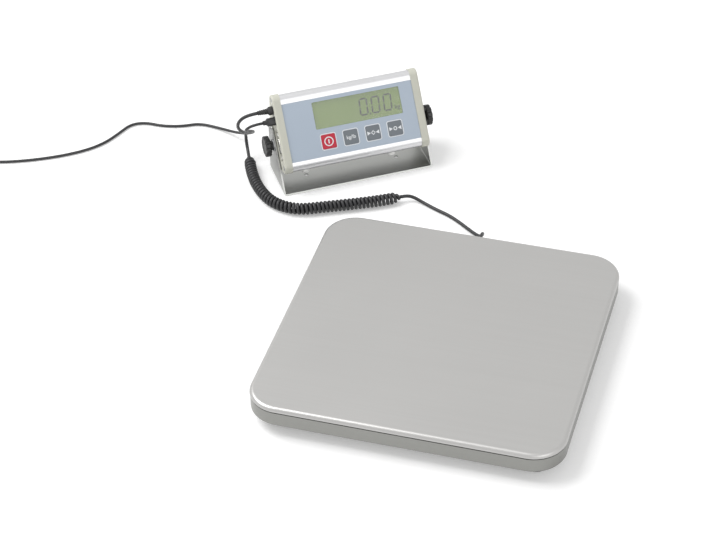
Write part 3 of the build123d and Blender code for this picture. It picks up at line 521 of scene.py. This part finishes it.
display_turn = (0.0, 0.0, -math.radians(33.6))
anodised = Finish("satin_anodised", (0.66, 0.66, 0.67), 0.36, metallic=1.0)
drawn = anodised.noise(anodised.place((6.0, 700.0, 700.0), display_turn), 1.0, 3.0, 0.6)
tone = anodised.noise(anodised.place(), 14.0, 2.0)
anodised.roughness(0.32 + drawn * 0.10 + tone * 0.04)
anodised.colour(anodised.mix(drawn * 0.6 + tone * 0.4, (0.58, 0.58, 0.59), (0.70, 0.70, 0.71)))
anodised.bump(drawn, 0.000004)
rounded("housing", "display", anodised)

# End caps. Moulded in warm grey-white plastic with a fine grain; they close the extrusion, and
# four plated screws hold each one.
cap_plastic = moulded("cap_plastic", (0.60, 0.60, 0.52), 0.50, 500.0)
rounded("end_cap_left", "display", cap_plastic)
rounded("end_cap_right", "display", cap_plastic)
dress(plated, "cap_screws")
brass = brushed("turned_brass", (0.60, 0.42, 0.18), 0.28)
dress(brass, "knob_inserts", "mains_pins")

# Front panel. A printed polyester film in the housing's recess, pale blue-grey, with a white
# outline printed round each key.
film = Finish("printed_film", (0.415, 0.485, 0.575), 0.42)
weave = film.noise(film.place(), 1400.0, 2.0)
wash = film.noise(film.place(), 12.0, 2.0)
film.colour(film.mix(wash, (0.400, 0.470, 0.560), (0.435, 0.505, 0.592)))
film.roughness(0.38 + weave * 0.08)
film.bump(weave, 0.000006)
dress(film, "membrane_panel")
white_ink = Finish("white_ink", (0.80, 0.82, 0.84), 0.45)
white_ink.roughness(0.40 + white_ink.noise(white_ink.place(), 900.0) * 0.10)


def outline(width, height, corner, centre, steps=6):
    """A rounded rectangle as in the load plate, for any width and height."""
    angle = np.linspace(0, math.pi / 2, steps + 1)[None, :] + np.arange(4)[:, None] * math.pi / 2
    middle = np.array([[1, 1], [-1, 1], [-1, -1], [1, -1]]) * [width / 2 - corner, height / 2 - corner]
    ring = middle[:, None, :] + corner * np.stack([np.cos(angle), np.sin(angle)], -1)
    return ring.reshape(-1, 2) + centre


def circle(radius, centre, steps=40):
    """Points round a circle."""
    angle = np.linspace(0, 2 * math.pi, steps, endpoint=False)
    return radius * np.c_[np.cos(angle), np.sin(angle)] + centre


def raised(name, shapes, level, thick, finish, body):
    """Thin flat shapes on the display, as one piece: a shape is an outline, or an outline and its
    hole, carried from level outwards by its thickness."""
    points, faces = [], []
    for shape in shapes:
        loops = shape if isinstance(shape, tuple) else (shape,)
        count = len(loops[0])
        low, high = np.full(count, level), np.full(count, level + thick)
        rows = [np.c_[loops[0], low], np.c_[loops[0], high]]
        if len(loops) == 2:
            rows += [np.c_[loops[1], high], np.c_[loops[1], low], np.c_[loops[0], low]]
        start = sum(len(block) for block in points)
        points.append(np.vstack(rows[:4]))
        rows_used = 4 if len(loops) == 2 else 2
        quads = np.array(grid_faces(rows_used, count, ring=True))
        if len(loops) == 2:
            last = np.arange(count)
            after = (last + 1) % count
            quads = np.vstack([quads, np.c_[3 * count + last, 3 * count + after, after, last]])
            faces += (quads + start).tolist()
        else:
            faces += (quads + start).tolist()
            faces.append((np.arange(count)[::-1] + start).tolist())
            faces.append((np.arange(count) + count + start).tolist())
    piece = add_piece(name, on_display(np.vstack(points)), faces, finish, 30)
    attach(piece, body)
    return piece


panel_top = 24.9
key_names = ("power_key", "unit_key", "hold_key", "zero_key")
key_row = (8.4, -6.7)
key_pitch = 24.3
key_centres = [np.array([key_row[0] + (place - 1.5) * key_pitch, key_row[1]]) for place in range(4)]
frames = [
    (outline(17.4, 17.4, 2.4, centre), outline(15.8, 15.8, 1.8, centre)) for centre in key_centres
]
raised("key_outlines", frames, panel_top - 0.005, 0.03, white_ink, "display")

# Keys. Soft silicone pads, one red and three grey, each with its sign printed in white on top.
key_top = 25.3
power_red = moulded("power_red", (0.52, 0.004, 0.030), 0.42, 900.0)
key_grey = moulded("key_grey", (0.165, 0.185, 0.205), 0.45, 900.0)
rounded("power_key", "power_key", power_red)
for name in key_names[1:]:
    rounded(name, name, key_grey)


def words(name, text, size, centre, level, thick, finish, body, lean=0.0):
    """Printed letters: the outline font's shapes, given a thickness and set on the display."""
    font = bpy.data.curves.new(name, "FONT")
    font.body = text
    font.size = size
    font.align_x = "CENTER"
    font.align_y = "CENTER"
    font.extrude = thick / 2
    font.offset = 0.012 * size
    font.shear = lean
    holder = bpy.data.objects.new(name + "_type", font)
    bpy.context.scene.collection.objects.link(holder)
    bpy.context.view_layer.update()
    mesh = bpy.data.meshes.new_from_object(holder)
    bpy.data.objects.remove(holder)
    place = np.zeros(len(mesh.vertices) * 3)
    mesh.vertices.foreach_get("co", place)
    place = place.reshape(-1, 3) + [centre[0], centre[1], level + thick / 2]
    mesh.vertices.foreach_set("co", on_display(place).ravel())
    mesh.materials.clear()
    mesh.materials.append(finish.material)
    shape = bmesh.new()
    shape.from_mesh(mesh)
    bmesh.ops.remove_doubles(shape, verts=shape.verts, dist=0.0000005)
    bmesh.ops.recalc_face_normals(shape, faces=shape.faces)
    shape.to_mesh(mesh)
    shape.free()
    piece = bpy.data.objects.new(name, mesh)
    bpy.context.scene.collection.objects.link(piece)
    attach(piece, body)
    return piece


ink_level = key_top - 0.01
ink = 0.04
power, unit, hold, zero = key_centres
power_sign = [
    (circle(5.0, power, 48), circle(3.9, power, 48)),
    outline(1.3, 4.6, 0.3, power),
]
raised("power_sign", power_sign, ink_level, ink, white_ink, "power_key")
words("unit_sign", "kg/lb", 5.4, unit, ink_level, ink, white_ink, "unit_key")


def arrow(centre, hand, size=2.1):
    """A triangle whose point looks along hand."""
    corners = np.array([[-0.85 * hand, -1.0], [0.95 * hand, 0.0], [-0.85 * hand, 1.0]]) * size
    return (corners if hand > 0 else corners[::-1]) + centre


diamond = np.array([[1, 0], [0, 1], [-1, 0], [0, -1]], float)
hold_sign = [
    arrow(hold + [-4.7, 0.0], 1),
    (diamond * 2.5 + hold, diamond * 1.5 + hold),
    arrow(hold + [4.7, 0.0], -1),
]
raised("hold_sign", hold_sign, ink_level, ink, white_ink, "hold_key")
zero_sign = [
    arrow(zero + [-4.8, 0.0], 1),
    (circle(2.1, zero), circle(1.2, zero)),
    arrow(zero + [4.8, 0.0], -1),
]
raised("zero_sign", zero_sign, ink_level, ink, white_ink, "zero_key")

# Liquid crystal display. Olive reflective glass behind a clear pane, with black seven-bar digits
# that lean a little, a decimal point and the unit.
glass_level = 22.9
olive = Finish("olive_glass", (0.165, 0.250, 0.040), 0.30)
shade = olive.noise(olive.place(), 9.0, 1.0)
cells = olive.noise(olive.place(), 1200.0, 1.0)
olive.colour(olive.mix(shade, (0.135, 0.215, 0.032), (0.205, 0.295, 0.055)))
olive.roughness(0.26 + cells * 0.08)
dress(olive, "lcd_glass")
pane = Finish("clear_pane", (0.95, 0.97, 0.95), 0.08, Alpha=0.10)
haze = pane.noise(pane.place(), 30.0, 2.0)
pane.roughness(0.05 + haze * 0.06)
pane.material.surface_render_method = "BLENDED"
dress(pane, "lcd_window")
light_box = moulded("light_box", (0.75, 0.76, 0.72), 0.5)
dress(light_box, "lcd_backlight")
dress(black_plastic, "board_parts")

digit_black = Finish("digit_black", (0.010, 0.014, 0.008), 0.35)
digit_black.roughness(0.30 + digit_black.noise(digit_black.place(), 700.0) * 0.1)
digit_high = 18.4
digit_wide = 9.6
digit_bar = 1.75
digit_gap = 0.32
digit_lean = 0.055
digit_centres = (15.4, 28.6, 41.8)
digit_base = 12.5


def bar(start, end):
    """One bar of a digit: a six-sided strip from start to end with pointed ends."""
    start, end = np.array(start, float), np.array(end, float)
    run = (end - start) / np.linalg.norm(end - start)
    side = np.array([-run[1], run[0]]) * digit_bar / 2
    start, end = start + run * digit_gap, end - run * digit_gap
    inset = run * digit_bar / 2
    return np.array([start, start + inset - side, end - inset - side, end, end - inset + side, start + inset + side])


bars = []
for centre in digit_centres:
    left, right = -digit_wide / 2 + digit_bar / 2, digit_wide / 2 - digit_bar / 2
    low, high = digit_bar / 2, digit_high - digit_bar / 2
    middle = (low + high) / 2
    lit = [
        ((left, low), (right, low)),
        ((right, low), (right, middle)),
        ((right, middle), (right, high)),
        ((right, high), (left, high)),
        ((left, high), (left, middle)),
        ((left, middle), (left, low)),
    ]
    for start, end in lit:
        strip = bar(start, end)
        bars.append(np.c_[strip[:, 0] + digit_lean * strip[:, 1] + centre, strip[:, 1] + digit_base])
bars.append(outline(1.7, 1.7, 0.3, (21.9, digit_base + 0.85)))
raised("digits", bars, glass_level - 0.004, 0.03, digit_black, "display")
words("unit_mark", "kg", 6.6, (52.0, 15.2), glass_level - 0.004, 0.03, digit_black, "display")

# Bumpers, sockets and port. White rubber pads under the housing; black sockets, and a nickel-plated
# nine-way port with its two jack screws sunk in the left cap.
white_rubber = rubber("white_rubber", (0.78, 0.78, 0.75), 0.5)
rounded("bumpers", "display", white_rubber)
rounded("coil_socket", "display", black_plastic)
rounded("dc_socket", "display", black_plastic)
nickel = Finish("nickel_plate", (0.62, 0.61, 0.58), 0.24, metallic=1.0)
nickel.roughness(0.20 + nickel.noise(nickel.place(), 300.0) * 0.12)
rounded("serial_port", "display", nickel)
rounded("coil_plug", "display", black_rubber)
rounded("dc_plug", "display", black_plastic)

# Knobs. Black moulded hand wheels with ten shallow flutes and a dished face; each has a steel stud
# that passes the ear, with a plated washer behind the hub.
knob_seat = 0.08285
knob_radius = 0.01125
flute_radius = 0.0018
flute_centre = 0.011898
flute_count = 10
knob_columns = 240
knob_profile = np.array(
    [
        (-0.01135, 0.0015, 0),
        (-0.01115, 0.0026, 0),
        (-0.0108, 0.00285, 0),
        (-0.00005, 0.00285, 0),
        (0.0, 0.0047, 0),
        (0.0003, 0.0050, 0),
        (0.0027, 0.0050, 0),
        (0.0030, 0.0054, 0),
        (0.0031, 0.0085, 0.5),
        (0.0032, 0.0101, 0.9),
        (0.0035, 0.0108, 1),
        (0.0040, 0.01116, 1),
        (0.0046, 0.01125, 1),
        (0.0076, 0.01125, 1),
        (0.0082, 0.01116, 1),
        (0.0087, 0.0108, 1),
        (0.0090, 0.0103, 0.9),
        (0.0092, 0.0094, 0.5),
        (0.0091, 0.0086, 0),
        (0.0086, 0.0078, 0),
        (0.0084, 0.0066, 0),
        (0.0084, 0.0030, 0),
    ]
)
turn_angle = np.linspace(0, 2 * math.pi, knob_columns, endpoint=False)
period = 2 * math.pi / flute_count
off_flute = (turn_angle + period / 2) % period - period / 2
reach = flute_centre * np.sin(off_flute)
inside = np.abs(reach) < flute_radius
scallop = flute_centre * np.cos(off_flute) - np.sqrt(np.maximum(flute_radius**2 - reach**2, 0))
flute = np.where(inside, np.maximum(knob_radius - scallop, 0), 0)
knob_radii = knob_profile[:, 1][:, None] - knob_profile[:, 2][:, None] * flute[None, :]
for hand, side in ((-1, "left"), (1, "right")):
    piece = turned("hand_knob_" + side, knob_profile[:, 0], knob_radii, black_plastic, knob_columns, 40)
    place = np.zeros(len(piece.data.vertices) * 3)
    piece.data.vertices.foreach_get("co", place)
    place = place.reshape(-1, 3) * 1000.0
    outwards = place[:, 2] + knob_seat * 1000.0
    spot = on_display(np.c_[hand * outwards, place[:, 0], hand * place[:, 1]])
    piece.data.vertices.foreach_set("co", spot.ravel())
    piece.data.update()
    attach(piece, "knob_" + side)
    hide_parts("knob_" + side)
    rounded("knob_washer_" + side, "washer_" + side, plated)

# Wall adapter. A black moulded plug-in housing with its strain relief, and two round mains pins.
rounded("wall_adapter", "base", black_plastic)


# Coiled cord. One round PVC cord, 3.6 mm thick: it leaves the display's plug, drops to the
# floor, runs as a curl of about fifty turns beside the stand, and ends in the platform's gland.
def smooth_line(name, points):
    """The points of a NURBS spline of order 3 through its own control points."""
    curve = bpy.data.curves.new(name, "CURVE")
    curve.dimensions = "3D"
    curve.resolution_u = 24
    spline = curve.splines.new("NURBS")
    spline.points.add(len(points) - 1)
    spline.points.foreach_set("co", np.c_[np.array(points), np.ones(len(points))].ravel())
    spline.order_u = 3
    spline.use_endpoint_u = True
    holder = bpy.data.objects.new(name, curve)
    bpy.context.scene.collection.objects.link(holder)
    bpy.context.view_layer.update()
    mesh = bpy.data.meshes.new_from_object(holder)
    line = np.zeros(len(mesh.vertices) * 3)
    mesh.vertices.foreach_get("co", line)
    bpy.data.objects.remove(holder)
    bpy.data.meshes.remove(mesh)
    return line.reshape(-1, 3)


def even(line, step):
    """The same line with its points a step apart, and the distance along it of each."""
    travel = np.r_[0.0, np.cumsum(np.linalg.norm(np.diff(line, axis=0), axis=1))]
    wanted = np.linspace(0, travel[-1], max(2, int(round(travel[-1] / step)) + 1))
    return np.c_[[np.interp(wanted, travel, line[:, axis]) for axis in range(3)]].T, wanted


def frames_along(line):
    """Tangent and two cross directions at each point, turned as little as possible on the way."""
    tangent = np.gradient(line, axis=0)
    tangent /= np.linalg.norm(tangent, axis=1)[:, None]
    first = np.zeros_like(line)
    start = np.array([0.0, 0.0, 1.0]) - tangent[0] * tangent[0][2]
    first[0] = start / np.linalg.norm(start)
    for i in range(1, len(line)):
        moved = first[i - 1] - tangent[i] * np.dot(first[i - 1], tangent[i])
        first[i] = moved / np.linalg.norm(moved)
    return tangent, first, np.cross(tangent, first)


def tube(name, line, radius, finish, sides=12):
    """A round tube along a line; radius is one number or one per point, and the ends are closed."""
    tangent, first, second = frames_along(line)
    turn = np.linspace(0, 2 * math.pi, sides, endpoint=False)
    radius = np.broadcast_to(radius, len(line))[:, None, None]
    ring = np.cos(turn)[None, :, None] * first[:, None] + np.sin(turn)[None, :, None] * second[:, None]
    points = (line[:, None] + radius * ring).reshape(-1, 3)
    faces = grid_faces(len(line), sides, ring=True)
    faces.append(list(range(sides))[::-1])
    faces.append([(len(line) - 1) * sides + k for k in range(sides)])
    return add_piece(name, points, faces, finish)


cord_radius = 0.0018
curl_radius = 0.0046
curl_pitch = 0.0042
curl_lead = 0.012
display_exit = (-0.20275, 0.13589, 0.08089)
gland_end = (0.05274, 0.06105, 0.0195)
cord_route = [
    display_exit,
    (-0.21274, 0.12925, 0.08089),
    (-0.2215, 0.1270, 0.0730),
    (-0.2250, 0.1325, 0.0605),
    (-0.2235, 0.1430, 0.0485),
    (-0.2255, 0.1550, 0.0395),
    (-0.2280, 0.1634, 0.0335),
    (-0.2298, 0.1692, 0.0258),
    (-0.2295, 0.1690, 0.0160),
    (-0.2256, 0.1617, 0.0096),
    (-0.2200, 0.1495, 0.0089),
    (-0.2120, 0.1319, 0.0067),
    (-0.1990, 0.1100, 0.0066),
    (-0.1806, 0.0905, 0.0066),
    (-0.1623, 0.0824, 0.0066),
    (-0.1423, 0.0821, 0.0066),
    (-0.1200, 0.0925, 0.0066),
    (-0.0930, 0.1046, 0.0066),
    (-0.0670, 0.1174, 0.0066),
    (-0.0506, 0.1274, 0.0066),
    (-0.0386, 0.1347, 0.0066),
    (-0.0240, 0.1315, 0.0021),
    (-0.0090, 0.1240, 0.0019),
    (0.0080, 0.1170, 0.0019),
    (0.0230, 0.1070, 0.0019),
    (0.0360, 0.0970, 0.0019),
    (0.0465, 0.0890, 0.0030),
    (0.0515, 0.0835, 0.0110),
    (0.05274, 0.07555, 0.0195),
    gland_end,
]
vinyl = Finish("black_vinyl", (0.022, 0.022, 0.024), 0.42)
cord_axis, along = even(smooth_line("cord_axis", cord_route), 0.0002)
coil_first = along[np.argmin(np.linalg.norm(cord_axis - np.array([-0.2200, 0.1495, 0.0089]), axis=1))]
coil_last = along[np.argmin(np.linalg.norm(cord_axis - np.array([-0.0506, 0.1274, 0.0066]), axis=1))]
share = np.clip((along - coil_first + curl_lead / 2) / curl_lead, 0, 1)
share = np.minimum(share, np.clip((coil_last + curl_lead / 2 - along) / curl_lead, 0, 1))
share = share * share * (3 - 2 * share)
_, side_one, side_two = frames_along(cord_axis)
turns = 2 * math.pi * (along - coil_first) / curl_pitch
curl = np.cos(turns)[:, None] * side_one + np.sin(turns)[:, None] * side_two
cord_line, _ = even(cord_axis + curl * (share * curl_radius)[:, None], 0.0017)
cord_line[:, 2] = np.maximum(cord_line[:, 2], cord_radius)
coiled_cord = tube("coiled_cord", cord_line, cord_radius, vinyl, 10)
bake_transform(coiled_cord)
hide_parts("coil_tail_display", "coil_cord", "coil_tail_platform")

# Power lead. A 3 mm round lead from the display's low-voltage plug: it wanders over the floor
# to the left, and what isn't in view is wound beside the wall adapter.
lead_radius = 0.0015
lead_exit = (-0.19633, 0.13237, 0.07163)
reel_centre = (-0.510, 0.062)
reel_radii = (0.0195, 0.0165, 0.0135)
reel_levels = (0.0017, 0.0047, 0.0077, 0.0107)
adapter_end = (-0.524, 0.047, 0.0145)
lead_start = [
    lead_exit,
    (-0.20549, 0.12628, 0.07163),
    (-0.2135, 0.1260, 0.0650),
    (-0.2160, 0.1335, 0.0575),
    (-0.2145, 0.1450, 0.0500),
    (-0.2155, 0.1565, 0.0415),
    (-0.2225, 0.1695, 0.0295),
    (-0.2350, 0.1830, 0.0170),
    (-0.2520, 0.1955, 0.0070),
    (-0.2730, 0.2055, 0.0020),
    (-0.2970, 0.2090, 0.0016),
    (-0.3140, 0.1990, 0.0016),
    (-0.3350, 0.1940, 0.0016),
    (-0.3550, 0.1955, 0.0016),
    (-0.3700, 0.1880, 0.0016),
    (-0.3770, 0.1670, 0.0016),
    (-0.3850, 0.1480, 0.0016),
    (-0.3990, 0.1310, 0.0016),
    (-0.4200, 0.1150, 0.0016),
    (-0.4440, 0.1015, 0.0016),
    (-0.4680, 0.0910, 0.0016),
    (-0.4900, 0.0845, 0.0016),
]
turn_points = 16
reel_turns = 12
step = np.arange(reel_turns * turn_points + turn_points // 4)
whole = step / turn_points
level = np.clip(np.floor(whole / 3), 0, 3).astype(int)
within = np.clip(whole - 3 * level, 0, 3)
inward = (level % 2) == 0
outer, inner = reel_radii[0] + 0.0015, reel_radii[2] - 0.0015
reel_radius = np.where(inward, outer - (outer - inner) * within / 3, inner + (outer - inner) * within / 3)
reel_height = np.interp(whole, [0, 2.7, 3.1, 5.7, 6.1, 8.7, 9.1, 12.3], np.repeat(reel_levels, 2))
reel_angle = math.pi / 2 + 2 * math.pi * whole
reel = np.c_[
    reel_centre[0] + reel_radius * np.cos(reel_angle),
    reel_centre[1] + reel_radius * np.sin(reel_angle),
    reel_height,
]
lead_finish = [(-0.5275, 0.0712, 0.0138), (-0.5240, 0.0580, 0.0145), adapter_end]
lead_route = lead_start + reel.tolist() + lead_finish
lead_line, _ = even(smooth_line("lead_axis", lead_route), 0.0016)
power_lead = tube("low_voltage_lead", lead_line, lead_radius, vinyl, 10)
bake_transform(power_lead)
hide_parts("power_lead", "power_lead_coil")
